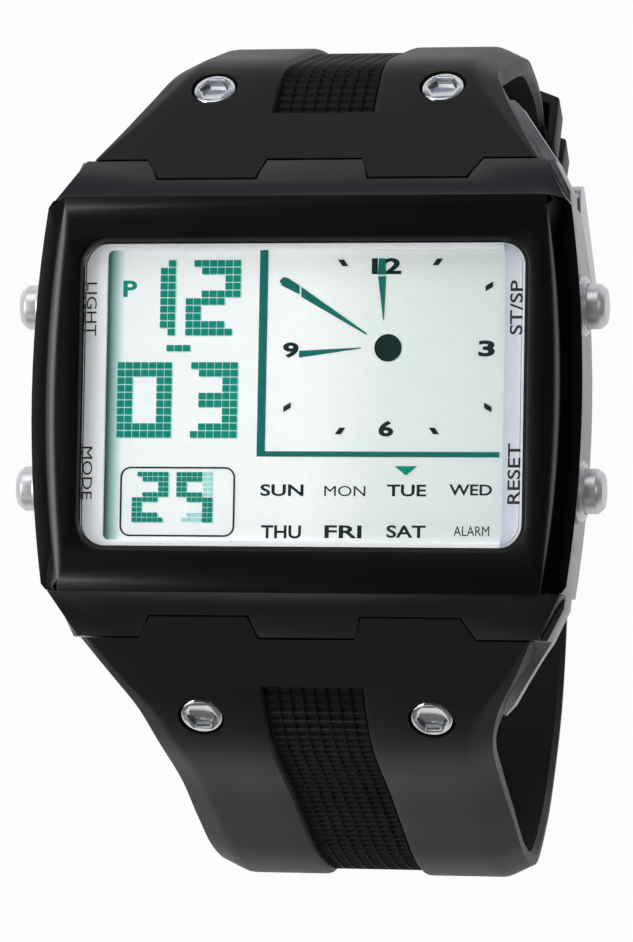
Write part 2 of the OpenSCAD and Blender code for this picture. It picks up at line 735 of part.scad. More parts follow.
// Z points out of the strap at a screw, for the twelve o'clock side
module at_strap_screw(end, side) {
    u = at_row(end[0], end[1]);
    p = place(end[0], u);
    n = outward(end[0], u);
    translate([side * strap_screw_x, p[0], p[1]])
        rotate([atan2(n[1], n[0]) - 90, 0, 0]) children();
}

module each_strap_screw() {
    for (side = [-1, 1]) {
        at_strap_screw(TWELVE_END, side) children();
        mirror([0, 1, 0]) at_strap_screw(SIX_END, side) children();
    }
}

module screw_holes(end) {
    for (side = [-1, 1]) at_strap_screw(end, side) {
        translate([0, 0, -screw_head_h - screw_sink - fit_gap])
            cylinder(d = strap_screw_d + hole_gap, h = screw_l);
        translate([0, 0, -screw_l - 2]) cylinder(r = screw_shank_r + fit_gap, h = screw_l + 3);
    }
}

module strap_screw() {
    rim = 0.25;
    translate([0, 0, -screw_head_h - screw_sink]) difference() {
        union() {
            cylinder(d = strap_screw_d, h = screw_head_h - rim);
            translate([0, 0, screw_head_h - rim])
                cylinder(d1 = strap_screw_d, d2 = strap_screw_d - 2 * rim, h = rim);
            translate([0, 0, screw_head_h - screw_l]) cylinder(r = screw_shank_r, h = screw_l - 0.5);
        }
        translate([0, 0, screw_head_h - hex_h]) cylinder(d = hex_d, h = 2, $fn = 6);
    }
}

// A slot across the strap's thickness, long along the strap
module strap_slot() {
    translate([0, 0, -2 * strap_t]) linear_extrude(4 * strap_t) {
        square([hole_w, hole_l - hole_w], center = true);
        for (end = [-1, 1]) translate([0, end * (hole_l - hole_w) / 2]) circle(d = hole_w);
    }
}

// X across the watch, Z outwards from a point of the strap's run, Y along the run
module on_run(point, out) {
    translate([0, point[0], point[1]]) rotate([atan2(out[1], out[0]) - 90, 0, 0]) children();
}

module strap_upper() color("#29292a") {
    slot_r = tongue_ring_r + run_gap;
    difference() {
        union() {
            strap_run(UPPER, 30);
            strap_tabs();
            translate([0, bar_at[0], bar_at[1]]) rod_x(wrap_r, -tail_w / 2, tail_w / 2);
        }
        screw_holes(TWELVE_END);
        translate([0, bar_at[0], bar_at[1]]) rod_x(spring_bar_r + 0.02, -strap_w, strap_w);
        translate([0, bar_at[0], bar_at[1]]) rod_x(slot_r, -tongue_w / 2 - run_gap, tongue_w / 2 + run_gap);
    }
}

module strap_lower() color("#29292a") {
    difference() {
        mirror([0, 1, 0]) difference() {
            union() {
                strap_run(LOWER, 56);
                strap_tabs();
            }
            screw_holes(SIX_END);
            for (u = HOLE_US) on_run(place(LOWER, u), outward(LOWER, u)) strap_slot();
        }
        on_run(bar_at + tongue_hole_s * bar_on, bar_out) strap_slot();
        translate([-big / 2, -big / 2, rest_z - big]) cube([big, big, big]);
    }
}

module strap_screws() color("#cfd1d3") {
    each_strap_screw() strap_screw();
}

// Outline of a keeper's opening, with its outer corners cut like the strap's, grown by a wall
module keeper_outline(grow) {
    w = keeper_half_w + grow;
    high = keeper_high + grow;
    polygon([[-w, keeper_low - grow], [w, keeper_low - grow], [w, high - facet_drop],
             [w - facet_w, high], [facet_w - w, high], [-w, high - facet_drop]]);
}

// A keeper: a band round both straps
module keeper(u) {
    on_run(place(UPPER, u), outward(UPPER, u)) rotate([90, 0, 0])
        translate([0, 0, -keeper_w / 2]) linear_extrude(keeper_w) difference() {
            keeper_outline(keeper_t);
            keeper_outline(0);
        }
}

module fixed_keeper() color("#262627") keeper(fixed_keeper_u);
module sliding_keeper() color("#262627") keeper(sliding_keeper_u);

// X across the watch, Y from the spring bar towards the front bar, Z outwards
module at_buckle() {
    translate([0, bar_at[0], bar_at[1]]) rotate([front_angle, 0, 0]) children();
}

module buckle_frame() color("#b9bbbf") {
    inner = buckle_w / 2 - arm_t;
    at_buckle() difference() {
        union() {
            for (side = [-1, 1]) translate([side * (inner + arm_t / 2), 0, 0]) {
                rod_x(arm_end_r, -arm_t / 2, arm_t / 2);
                translate([0, front_far, 0]) rod_x(front_bar_r, -arm_t / 2, arm_t / 2);
                drawn_x(arm_t) polygon([[0, -arm_end_r], [front_far, -front_bar_r],
                                        [front_far, front_bar_r], [0, arm_end_r]]);
            }
            translate([0, front_far, 0]) rod_x(front_bar_r, -inner - eps, inner + eps);
        }
        rod_x(pivot_r, -inner - arm_t + bar_cover, inner + arm_t - bar_cover);
        translate([-tongue_w / 2 - run_gap, front_far - front_bar_d, front_bar_r - tongue_seat])
            cube([tongue_w + 2 * run_gap, 2 * front_bar_d, front_bar_d]);
    }
}

module buckle_tongue() color("#c2c4c8") {
    t = tongue_t;
    s = tongue_rise_s;
    high = tongue_high;
    front_s = (front_at - bar_at) * bar_on;
    front_h = (front_at - bar_at) * bar_out + front_bar_r - 0.3;
    difference() {
        union() {
            translate([0, bar_at[0], bar_at[1]])
                rod_x(tongue_ring_r, -tongue_w / 2, tongue_w / 2);
            on_run(bar_at, bar_out) drawn_x(tongue_w)
                polygon([[0, -t * 0.6], [s + t / 2 - 0.3, -t * 0.6], [s + t / 2, 0.4],
                         [s + t / 2, high - 0.5], [s + t, high - 0.1],
                         [front_s - 1.5, front_h + 0.15], [front_s + 0.7, front_h],
                         [front_s + 0.7, front_h + t * 0.6], [front_s - 1.5, front_h + t],
                         [s + 0.3, high + t], [s - t / 2, high + 0.2], [s - t / 2, t], [0, t]]);
        }
        translate([0, bar_at[0], bar_at[1]]) rod_x(pivot_r, -tongue_w, tongue_w);
    }
}

module spring_bar() color("#b0b2b6") {
    translate([0, bar_at[0], bar_at[1]])
        rod_x(spring_bar_r, -buckle_w / 2 + bar_cover + hole_gap, buckle_w / 2 - bar_cover - hole_gap);
}

bezel();
crystal();
crystal_gasket();
display_mask();
lcd_panel();
backlight_panel();
zebra_connectors();
side_contacts();
module_frame();
circuit_board();
controller_chip();
quartz_crystal();
coin_cell();
battery_clip();
buzzer_disc();
buzzer_spring();
mid_case();
case_back();
case_back_gasket();
case_back_screws();
pusher_sleeves();
pusher_seals();
pusher(PUSHERS[0]);  // light_pusher
pusher(PUSHERS[1]);  // mode_pusher
pusher(PUSHERS[2]);  // start_stop_pusher
pusher(PUSHERS[3]);  // reset_pusher
pusher_clip(PUSHERS[0]);  // light_clip
pusher_clip(PUSHERS[1]);  // mode_clip
pusher_clip(PUSHERS[2]);  // start_stop_clip
pusher_clip(PUSHERS[3]);  // reset_clip
pusher_spring(PUSHERS[0]);  // light_spring
pusher_spring(PUSHERS[1]);  // mode_spring
pusher_spring(PUSHERS[2]);  // start_stop_spring
pusher_spring(PUSHERS[3]);  // reset_spring
strap_upper();
strap_lower();
strap_screws();
fixed_keeper();
sliding_keeper();
buckle_frame();
buckle_tongue();
spring_bar();
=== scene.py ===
"""A digital sports watch with a wide black bezel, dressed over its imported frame."""
import math
from bisect import bisect

import bpy
from mathutils import Matrix, Vector


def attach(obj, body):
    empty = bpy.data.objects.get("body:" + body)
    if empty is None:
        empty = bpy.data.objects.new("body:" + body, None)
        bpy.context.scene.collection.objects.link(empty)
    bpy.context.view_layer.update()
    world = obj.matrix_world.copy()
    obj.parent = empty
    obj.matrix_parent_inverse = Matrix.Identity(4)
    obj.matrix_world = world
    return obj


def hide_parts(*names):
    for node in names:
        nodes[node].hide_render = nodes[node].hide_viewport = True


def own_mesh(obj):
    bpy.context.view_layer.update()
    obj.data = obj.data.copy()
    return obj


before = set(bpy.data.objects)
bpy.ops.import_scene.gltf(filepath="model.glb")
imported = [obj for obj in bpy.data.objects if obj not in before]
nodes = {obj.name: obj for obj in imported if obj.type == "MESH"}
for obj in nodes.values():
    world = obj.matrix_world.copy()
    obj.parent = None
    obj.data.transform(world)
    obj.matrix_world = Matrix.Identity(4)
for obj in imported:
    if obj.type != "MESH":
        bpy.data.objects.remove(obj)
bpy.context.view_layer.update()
MM = 0.001

# Sizes shared with the frame, in millimetres, but for the four X places in metres
ROOT_Y, ROOT_Z = 21.99, 8.5534
STRAP_ROOT_W, STRAP_W, TAIL_W = 41.2, 30.6, 27.6
STRAP_T, TAIL_T = 3.1, 2.2
FACET_W, FACET_DROP = 2.5, 1.2
ROOT_FLARE = 0.6
UNDER_EDGE = 0.5
SLOPE = math.radians(36)
REST_Z = -60.8966
TAIL_GAP = 0.45
CASE_H = 13.5
SIDE_ROUND = 0.8
LCD_TOP = 11.2
LCD_LEFT_X, LCD_RIGHT_X = -0.0187, 0.0183
FLANGE_INNER_X, FLANGE_OUTER_X = 0.0182, 0.0202
FLANGE_TOP = 11.7
SCREW_X = 10.75
SCREW_ROWS = {1: 2.09, -1: 2.05}
BAR_AT, BAR_OUT, BAR_ON = (24.5206, -48.1727), (0.790614, -0.612315), (-0.612315, -0.790614)
HOLE_W, HOLE_L = 2.4, 3.4
HOLE_SHARES = (0.56, 0.605, 0.65, 0.695)
TONGUE_HOLE = 1.8
KEEPER_SHARES = {"fixed_keeper": 0.95, "sliding_keeper": 0.89}
KEEPER_W, KEEPER_T, KEEPER_GAP = 3.4, 0.9, 0.3
SCREW_BORE_R, SCREW_WELL_R = 1.08, 2.18
TAB_REACH, TAB_LEAN, TAB_T = 2.38, 0.6, 1.6
TAB_FROM, TAB_TO = 4.4, 15.7
TAB_END_FROM, TAB_END_TO = 5.25, 14.3
BAR_BORE_R, TONGUE_RING_R, TONGUE_RING_W, WRAP_WALL = 0.77, 1.6, 2.4, 0.2

# Faces that meet at less count as one, and edges that turn by more are rounded
FLAT_BELOW, SHARP_FROM = math.radians(0.5), math.radians(35)

# The strap's runs: outwards and down from the root, then the shares of the width at the
# root, of the width at the buckle and of the thickness there
UPPER_ROWS = [
    (0, 0, 1, 0, 0), (3.5, -2.6, 0.6, 0, 0), (7.1, -5.5, 0.23, 0, 0), (10.05, -9, 0, 0, 0),
    (12.1, -16.6, 0, 0, 0.1), (14, -25.9, 0, 0, 0.3), (14.1, -34.5, 0, 0.4, 0.6),
    (12.5, -42.6, 0, 0.65, 0.9), (9.4, -49.6, 0, 1, 1), (3.4, -57.4, 0, 1, 1),
]
LOWER_ROWS = [
    (0, 0, 1, 0, 0), (3.4, -2.4, 0.66, 0, 0), (6.9, -5.15, 0.28, 0, 0),
    (10.25, -9.2, 0.08, 0, 0), (13.8, -17.6, 0, 0, 0.1), (17.15, -24.8, 0, 0, 0.3),
    (20.3, -32.3, 0, 0.05, 0.5), (21.3, -41, 0, 0.1, 0.7), (17.6, -50, 0, 0.33, 0.9),
    (12.75, -57.8, 0, 0.63, 1), (4.9, -65, 0, 0.83, 1), (-5, -69.4, 0, 1, 1),
    (-14, -69.7, 0, 1, 1), (-22, -69.7, 0, 1, 1), (-29, -69.2, 0, 1, 1), (-36, -65.9, 0, 1, 1),
    (-42.5, -63.1, 0, 1, 1),
]
TAIL_OVER = [(1, 1), (0.94, 1), (0.88, 1.2), (0.83, 2.6)]


# Selecting and finishing

def only(piece):
    bpy.ops.object.select_all(action="DESELECT")
    piece.select_set(True)
    bpy.context.view_layer.objects.active = piece


def edit(piece, kind="VERT", wanted=None):
    """Opens a piece for editing with the wanted points or faces picked, or all of them."""
    only(piece)
    bpy.ops.object.mode_set(mode="EDIT")
    bpy.ops.mesh.select_mode(type=kind)
    bpy.ops.mesh.select_all(action="SELECT" if wanted is None else "DESELECT")
    if wanted is not None:
        bpy.ops.object.mode_set(mode="OBJECT")
        parts = {"VERT": piece.data.vertices, "EDGE": piece.data.edges,
                 "FACE": piece.data.polygons}[kind]
        for part in parts:
            part.select = wanted(part)
        bpy.ops.object.mode_set(mode="EDIT")


def close():
    bpy.ops.object.mode_set(mode="OBJECT")
    return bpy.context.object


def thicken(piece, move):
    """Draws every face out by a move and turns the closed piece's normals outwards."""
    edit(piece)
    bpy.ops.mesh.extrude_region_move(TRANSFORM_OT_translate={"value": move})
    bpy.ops.mesh.select_all(action="SELECT")
    bpy.ops.mesh.normals_make_consistent(inside=False)
    return close()


def settle(piece, scale=None):
    """Puts a piece's place, turn and size into its mesh."""
    only(piece)
    if scale is not None:
        piece.scale = [scale * s for s in piece.scale]
        piece.location = [scale * x for x in piece.location]
    bpy.ops.object.transform_apply(location=True, rotation=True, scale=True)
    return piece


def tidy(piece, near=1e-5):
    edit(piece)
    bpy.ops.mesh.remove_doubles(threshold=near)
    bpy.ops.mesh.normals_make_consistent(inside=False)
    return close()


def apply(piece, kind, **settings):
    only(piece)
    mod = piece.modifiers.new(kind.title(), kind)
    for key, value in settings.items():
        setattr(mod, key, value)
    bpy.ops.object.modifier_apply(modifier=mod.name)
    return piece


def join(pieces):
    bpy.ops.object.select_all(action="DESELECT")
    for p in pieces:
        p.select_set(True)
    bpy.context.view_layer.objects.active = pieces[0]
    bpy.ops.object.join()
    return bpy.context.object


def copy_at(piece, matrix):
    """A copy of a piece with its own mesh, moved into its mesh by the matrix."""
    twin = bpy.data.objects.new(piece.name, piece.data.copy())
    bpy.context.scene.collection.objects.link(twin)
    twin.data.transform(matrix)
    return twin


def finish(piece, name, body, material, replaced=(), angle=30):
    piece.name = name
    piece.data.name = name
    only(piece)
    bpy.ops.object.shade_smooth_by_angle(angle=math.radians(angle))
    piece.data.materials.clear()
    piece.data.materials.append(material)
    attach(piece, body)
    if replaced:
        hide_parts(*replaced)
    return piece


def softened(node, width, round_first=None):
    """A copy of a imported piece, merged, with its sharp edges rounded off by width.

    Edges picked by round_first are rounded before, by a width of their own."""
    piece = bpy.data.objects.new(node + "_soft", nodes[node].data.copy())
    bpy.context.scene.collection.objects.link(piece)
    only(piece)
    if piece.data.has_custom_normals:
        bpy.ops.mesh.customdata_custom_splitnormals_clear()
    edit(piece)
    bpy.ops.mesh.remove_doubles(threshold=2e-6)
    bpy.ops.mesh.dissolve_limited(angle_limit=FLAT_BELOW)
    close()
    if round_first:
        points = piece.data.vertices
        edit(piece, "EDGE", lambda e: all(round_first(points[i].co / MM) for i in e.vertices))
        bpy.ops.mesh.bevel(offset=SIDE_ROUND * MM, segments=5, affect="EDGES")
        close()
    return apply(piece, "BEVEL", width=width * MM, segments=2, limit_method="ANGLE",
                 angle_limit=SHARP_FROM, use_clamp_overlap=True, harden_normals=False)


# Materials

def material(name):
    mat = bpy.data.materials.new(name)
    mat.use_nodes = True
    nt = mat.node_tree
    shader = nt.nodes["Principled BSDF"]
    return mat, nt, shader


def add(nt, kind, **inputs):
    node = nt.nodes.new("ShaderNode" + kind)
    for key, value in inputs.items():
        node.inputs[key.replace("_", " ")].default_value = value
    return node


def rgb(code):
    """A colour as it looks on a screen, such as '1a2b3c', as the shader's own numbers."""
    parts = [int(code[i:i + 2], 16) / 255 for i in (0, 2, 4)]
    return [p / 12.92 if p <= 0.04045 else ((p + 0.055) / 1.055) ** 2.4 for p in parts] + [1]


def ramp(nt, source, stops):
    node = nt.nodes.new("ShaderNodeValToRGB")
    first, last = node.color_ramp.elements
    first.position, first.color = stops[0]
    last.position, last.color = stops[-1]
    for place, colour in stops[1:-1]:
        node.color_ramp.elements.new(place).color = colour
    nt.links.new(source, node.inputs["Fac"])
    return node.outputs["Color"]


def grey(value):
    return (value, value, value, 1)


def grained(name, dark, light, rough, grain, bump, stretch=(1, 1, 1), metal=0.0, blotch=60,
            specular=0.5):
    """A finish with a fine grain, faint blotches and a roughness that follows them."""
    mat, nt, shader = material(name)
    link = nt.links.new
    place = nt.nodes.new("ShaderNodeTexCoord")
    spread = nt.nodes.new("ShaderNodeMapping")
    spread.inputs["Scale"].default_value = stretch
    link(place.outputs["Object"], spread.inputs["Vector"])
    fine = add(nt, "TexNoise", Scale=grain, Detail=4.0, Roughness=0.6)
    link(spread.outputs["Vector"], fine.inputs["Vector"])
    wide = add(nt, "TexNoise", Scale=blotch, Detail=3.0)
    link(place.outputs["Object"], wide.inputs["Vector"])
    mixed = nt.nodes.new("ShaderNodeMix")
    mixed.inputs["Factor"].default_value = 0.4
    link(fine.outputs["Fac"], mixed.inputs["A"])
    link(wide.outputs["Fac"], mixed.inputs["B"])
    link(ramp(nt, mixed.outputs["Result"], [(0.3, rgb(dark)), (0.7, rgb(light))]),
         shader.inputs["Base Color"])
    link(ramp(nt, mixed.outputs["Result"], [(0.3, grey(rough[0])), (0.7, grey(rough[1]))]),
         shader.inputs["Roughness"])
    bumped = add(nt, "Bump", Strength=bump, Distance=0.00005)
    link(fine.outputs["Fac"], bumped.inputs["Height"])
    link(bumped.outputs["Normal"], shader.inputs["Normal"])
    shader.inputs["Metallic"].default_value = metal
    shader.inputs["Specular IOR Level"].default_value = specular
    return mat


def reckon(nt, operation, *values):
    """A Math node fed with numbers or with other nodes' outputs."""
    node = add(nt, "Math")
    node.operation = operation
    for socket, value in zip(node.inputs, values):
        if isinstance(value, float):
            socket.default_value = value
        else:
            nt.links.new(value, socket)
    return node


def share_along_x(nt, place, low, high):
    """How far along X a point lies between two places, in metres, as a share."""
    axes = nt.nodes.new("ShaderNodeSeparateXYZ")
    nt.links.new(place.outputs["Object"], axes.inputs["Vector"])
    along = add(nt, "MapRange")
    along.inputs["From Min"].default_value = low
    along.inputs["From Max"].default_value = high
    nt.links.new(axes.outputs["X"], along.inputs["Value"])
    return along.outputs["Result"]


def shown(nt, share, first, second):
    """Sends a mix of two shaders to the material's output."""
    choice = nt.nodes.new("ShaderNodeMixShader")
    nt.links.new(share, choice.inputs["Fac"])
    nt.links.new(first, choice.inputs[1])
    nt.links.new(second, choice.inputs[2])
    nt.links.new(choice.outputs["Shader"], nt.nodes["Material Output"].inputs["Surface"])


def let_light_through(mat):
    """Clear pieces don't hold back the lamps' light."""
    nt = mat.node_tree
    clear = nt.nodes.new("ShaderNodeBsdfTransparent")
    path = nt.nodes.new("ShaderNodeLightPath")
    shown(nt, path.outputs["Is Shadow Ray"], nt.nodes["Principled BSDF"].outputs["BSDF"],
          clear.outputs["BSDF"])


def watch_glass():
    mat = grained("watch_glass", "f4f8f8", "ffffff", (0.01, 0.03), 900, 0.02)
    shader = mat.node_tree.nodes["Principled BSDF"]
    shader.inputs["Transmission Weight"].default_value = 1.0
    shader.inputs["IOR"].default_value = 1.45
    let_light_through(mat)
    return mat


def bezel_paint():
    """Black paint, glossy on the face, its reflection taken away on the leaning sides as painted
    shade.
    """
    mat = grained("black_bezel_paint", "060608", "0a0a0d", (0.2, 0.27), 6000, 0.03)
    nt = mat.node_tree
    around = nt.nodes.new("ShaderNodeNewGeometry")
    axes = nt.nodes.new("ShaderNodeSeparateXYZ")
    nt.links.new(around.outputs["Normal"], axes.inputs["Vector"])
    lean = reckon(nt, "ABSOLUTE", axes.outputs["X"])
    # Painted shade: where the normal leans far to the side, the paint's reflection is turned
    # almost off, so the sides stay black
    glossy, sides_painted_dark = grey(0.5), grey(0.015)
    gloss_and_painted_dark_sides = ramp(nt, lean.outputs["Value"], [(0.0, glossy), (0.52, glossy), (0.66, sides_painted_dark),
                                             (1.0, sides_painted_dark)])
    nt.links.new(gloss_and_painted_dark_sides, nt.nodes["Principled BSDF"].inputs["Specular IOR Level"])
    return mat


def flange_silver():
    """Satin silver, with painted shade and painted light: darker and bluer along the right flange
    by the display, and a faint glow all over that no lamp gives."""
    mat = grained("silver_flange", "ececf0", "f4f4f6", (0.3, 0.42), 5000, 0.08)
    nt = mat.node_tree
    shader = nt.nodes["Principled BSDF"]
    place = nt.nodes.new("ShaderNodeTexCoord")
    along = share_along_x(nt, place, FLANGE_INNER_X, FLANGE_OUTER_X)
    # Painted shade: a darker, bluer band along the right flange next to the display
    painted_shade_tone = ramp(nt, along, [(0.0, grey(1)), (0.02, rgb("b2bbc6")), (0.5, rgb("dcdfe4")),
                            (1.0, grey(1))])
    own = shader.inputs["Base Color"].links[0].from_socket
    mix = nt.nodes.new("ShaderNodeMix")
    mix.data_type = "RGBA"
    mix.blend_type = "MULTIPLY"
    mix.inputs["Factor"].default_value = 1.0
    colours = [socket for socket in mix.inputs if socket.type == "RGBA"]
    nt.links.new(own, colours[0])
    nt.links.new(painted_shade_tone, colours[1])
    result = next(socket for socket in mix.outputs if socket.type == "RGBA")
    nt.links.new(result, shader.inputs["Base Color"])
    # Painted light: the flange glows a little in its own colour, lifting it out of the bezel's
    # shade
    nt.links.new(result, shader.inputs["Emission Color"])
    shader.inputs["Emission Strength"].default_value = 0.22
    return mat


def display_glass():
    """The display's pale face: white on the left, pale green-grey on the right, dark at the
    left edge where the flange shades it."""
    mat, nt, shader = material("display_face")
    link = nt.links.new
    place = nt.nodes.new("ShaderNodeTexCoord")
    along = share_along_x(nt, place, LCD_LEFT_X, LCD_RIGHT_X)
    haze = add(nt, "TexNoise", Scale=45.0, Detail=2.0)
    link(place.outputs["Object"], haze.inputs["Vector"])
    wander = reckon(nt, "MULTIPLY_ADD", haze.outputs["Fac"], 0.12, along)
    link(ramp(nt, along, [
        (0.0, rgb("2c4442")), (0.012, rgb("44706a")), (0.03, rgb("9fc4bd")),
        (0.052, rgb("fbfdfd")), (0.5, rgb("fdfefe")), (0.7, rgb("e9efec")), (1.0, rgb("dfe6e4"))]),
        shader.inputs["Base Color"])
    link(ramp(nt, wander.outputs["Value"], [(0.0, grey(0.28)), (1.0, grey(0.4))]),
         shader.inputs["Roughness"])
    fine = add(nt, "TexNoise", Scale=9000.0, Detail=2.0)
    link(place.outputs["Object"], fine.inputs["Vector"])
    bumped = add(nt, "Bump", Strength=0.03, Distance=0.00002)
    link(fine.outputs["Fac"], bumped.inputs["Height"])
    link(bumped.outputs["Normal"], shader.inputs["Normal"])
    shader.inputs["Specular IOR Level"].default_value = 0.2
    return mat


BLACK = bezel_paint()
STEEL = grained("brushed_case_steel", "5f5f64", "707075", (0.28, 0.4), 5000, 0.12,
                stretch=(0.12, 0.12, 6), metal=1.0)
BRIGHT = grained("polished_screw_steel", "c9cbce", "dcdee0", (0.12, 0.22), 3000, 0.1, metal=1.0)
BUTTON = grained("turned_button_steel", "d2d3d6", "e2e3e5", (0.3, 0.42), 4000, 0.08,
                 stretch=(0.2, 1, 5), metal=0.6)
BUCKLE = grained("satin_buckle_steel", "a9abaf", "bcbec2", (0.26, 0.38), 4000, 0.15,
                 stretch=(0.15, 4, 4), metal=1.0)
RUBBER = grained("strap_rubber", "181819", "1f1f20", (0.42, 0.54), 7000, 0.25, specular=0.15)
GROOVE_RUBBER = grained("strap_grid_rubber", "141415", "1a1a1b", (0.3, 0.42), 7000, 0.2,
                        specular=0.6)
SEAL = grained("seal_rubber", "141415", "1b1b1c", (0.35, 0.5), 5000, 0.2)
FLANGE = flange_silver()
PLAIN_STEEL = grained("plain_steel", "a7a9ad", "b9bbbf", (0.25, 0.4), 4000, 0.12, metal=1.0)
BRASS = grained("contact_brass", "b08a45", "c9a45a", (0.25, 0.4), 4000, 0.12, metal=1.0)
FRAME_WHITE = grained("module_white", "dcdcd8", "e6e6e2", (0.45, 0.6), 4000, 0.15)
BOARD = grained("board_green", "1a5c3c", "236f49", (0.35, 0.5), 5000, 0.12)
CHIP = grained("chip_black", "101010", "181818", (0.4, 0.55), 5000, 0.15)
ZEBRA = grained("contact_strip_pink", "a87b7b", "c09696", (0.5, 0.65), 3000, 0.2,
                stretch=(12, 0.1, 0.1))
BACKLIGHT = grained("backlight_green", "bcd6cb", "cfe3da", (0.4, 0.5), 4000, 0.05)
TEAL = grained("digit_teal", "007f70", "049380", (0.3, 0.4), 4000, 0.05, blotch=800,
               specular=0.15)
TEAL_PALE = grained("faint_digit_teal", "8fd8d0", "b4e8e2", (0.3, 0.4), 4000, 0.05, blotch=800,
                    specular=0.15)
# Pale teal for the digits' painted shadows on the display face
TEAL_PAINTED_SHADOW = grained("digit_painted_shadow", "a9e6da", "c6f2ea", (0.3, 0.4), 4000, 0.05, blotch=800,
                     specular=0.15)
TEAL_LINE = grained("line_teal", "0a665e", "0b7269", (0.3, 0.4), 4000, 0.05, blotch=800,
                    specular=0.15)
PRINT = grained("display_print", "0a2422", "122e2b", (0.3, 0.4), 4000, 0.05, blotch=800,
                specular=0.15)
PRINT_BLACK = grained("flange_print", "17181c", "222329", (0.35, 0.5), 4000, 0.05, blotch=800)
GLASS = watch_glass()
DISPLAY = display_glass()


# The strap

def spline(a, b, c, d, t):
    return 0.5 * (2 * b + (c - a) * t + (2 * a - 5 * b + 4 * c - d) * t * t
                  + (3 * b - a - 3 * c + d) * t ** 3)


class Run:
    """One strap half's path in Y and Z, its outer face, and its widths along it."""

    def __init__(self, points, side):
        self.points, self.side = points, side
        steps = 40 * (len(points) - 1)
        self.shares = [i / steps for i in range(steps + 1)]
        self.places = [self.at(u)[:2] for u in self.shares]
        self.lengths = [0.0]
        for a, b in zip(self.places, self.places[1:]):
            self.lengths.append(self.lengths[-1] + math.dist(a, b))
        self.length = self.lengths[-1]

    def at(self, u):
        last = len(self.points) - 1
        s = min(max(u, 0), 0.99999) * last
        i = int(s)
        near = [self.points[min(max(k, 0), last)] for k in (i - 1, i, i + 1, i + 2)]
        return [spline(*(p[k] for p in near), s - i) for k in range(5)]

    def share_at(self, length):
        k = min(max(bisect(self.lengths, length), 1), len(self.lengths) - 1)
        a, b = self.lengths[k - 1], self.lengths[k]
        return self.shares[k - 1] + (self.shares[k] - self.shares[k - 1]) * (length - a) / (b - a)

    def out(self, u):
        a, b = self.at(max(u - 0.002, 0)), self.at(min(u + 0.002, 1))
        d = Vector((b[0] - a[0], b[1] - a[1])).normalized()
        return Vector((-d[1], d[0]))

    def frame_at(self, u, x=0.0):
        """Turns X across the watch and Z out of the strap, at a point of the run."""
        p, n = self.at(u), self.out(u)
        lean = math.atan2(n[1], self.side * n[0]) - math.pi / 2
        return Matrix.Translation((x, self.side * p[0], p[1])) @ Matrix.Rotation(lean, 4, "X")


UPPER = Run([(ROOT_Y + y, ROOT_Z + z, *shares) for y, z, *shares in UPPER_ROWS], 1)
over = []
for share, tail in TAIL_OVER:
    p, n = UPPER.at(share), UPPER.out(share)
    reach = TAIL_GAP + TAIL_T
    over.append((-p[0] - reach * n[0], p[1] + reach * n[1], 0, tail, 1))
LOWER = Run([(ROOT_Y + y, ROOT_Z + z, *shares) for y, z, *shares in LOWER_ROWS] + over, -1)
LEAD = 5.0


def curve_of(run):
    """The run as a curve that starts LEAD before the root, straight up the shoulder's slope."""
    count = 4 * (len(run.points) - 1)
    places = [run.at(i / count)[:2] for i in range(count + 1)]
    start = (places[0][0] - LEAD * math.cos(SLOPE), places[0][1] + LEAD * math.sin(SLOPE))
    end = Vector(places[-1]) + (Vector(places[-1]) - Vector(places[-2])).normalized() * 3
    places = [start] + places + [tuple(end)]
    bpy.ops.curve.primitive_bezier_curve_add()
    curve = bpy.context.object
    curve.data.dimensions = "3D"
    curve.data.twist_mode = "MINIMUM"
    line = curve.data.splines[0]
    line.bezier_points.add(len(places) - 2)
    for point, (y, z) in zip(line.bezier_points, places):
        point.co = (0, run.side * y, z)
        point.handle_left_type = point.handle_right_type = "AUTO"
    line.resolution_u = 12
    return curve


def half_w(run, s):
    root, tail = run.at(run.share_at(s))[2:4]
    return STRAP_W / 2 + root * (STRAP_ROOT_W - STRAP_W) / 2 - tail * (STRAP_W - TAIL_W) / 2


def under_half_w(run, s):
    row = run.share_at(s) * (len(run.points) - 1)
    return half_w(run, s) + ROOT_FLARE * max(0, min(1, row / 0.8, 3.4 - row))


def thickness(run, s):
    return STRAP_T + (TAIL_T - STRAP_T) * run.at(run.share_at(s))[4]


GROOVE_HALF, GROOVE_DEEP = 4.65, 0.8
GROOVE_SPAN = {1: (5.9, 58), -1: (5.3, 104)}
INLAY_CELLS, INLAY_PITCH = 8, 1.06


def outer_line(run, s, groove):
    """Half of the outer face's line across the strap at a length s, from the middle out."""
    w = half_w(run, s)
    root = run.at(run.share_at(s))[2]
    k = 1 - 0.9 * max(root, 0)
    f, d = w - FACET_W * k, FACET_DROP * k
    soft = 0.5 * k
    steep = FACET_DROP / FACET_W * soft
    q = min(1, 0.856 + 0.03 * s)
    return [(1.6, -groove), (q * (GROOVE_HALF - 0.12), -groove),
            (q * (GROOVE_HALF + 0.02), -0.55 * groove), (q * (GROOVE_HALF + 0.2), -0.12 * groove),
            (q * (GROOVE_HALF + 0.55), 0), (0.5 * f + 1, 0),
            (min(15.6 - 0.31 * min(s, 16), f - soft - 0.6), 0), (f - soft, 0),
            (f, -0.25 * steep), (f + soft, -steep), (w, -d)]


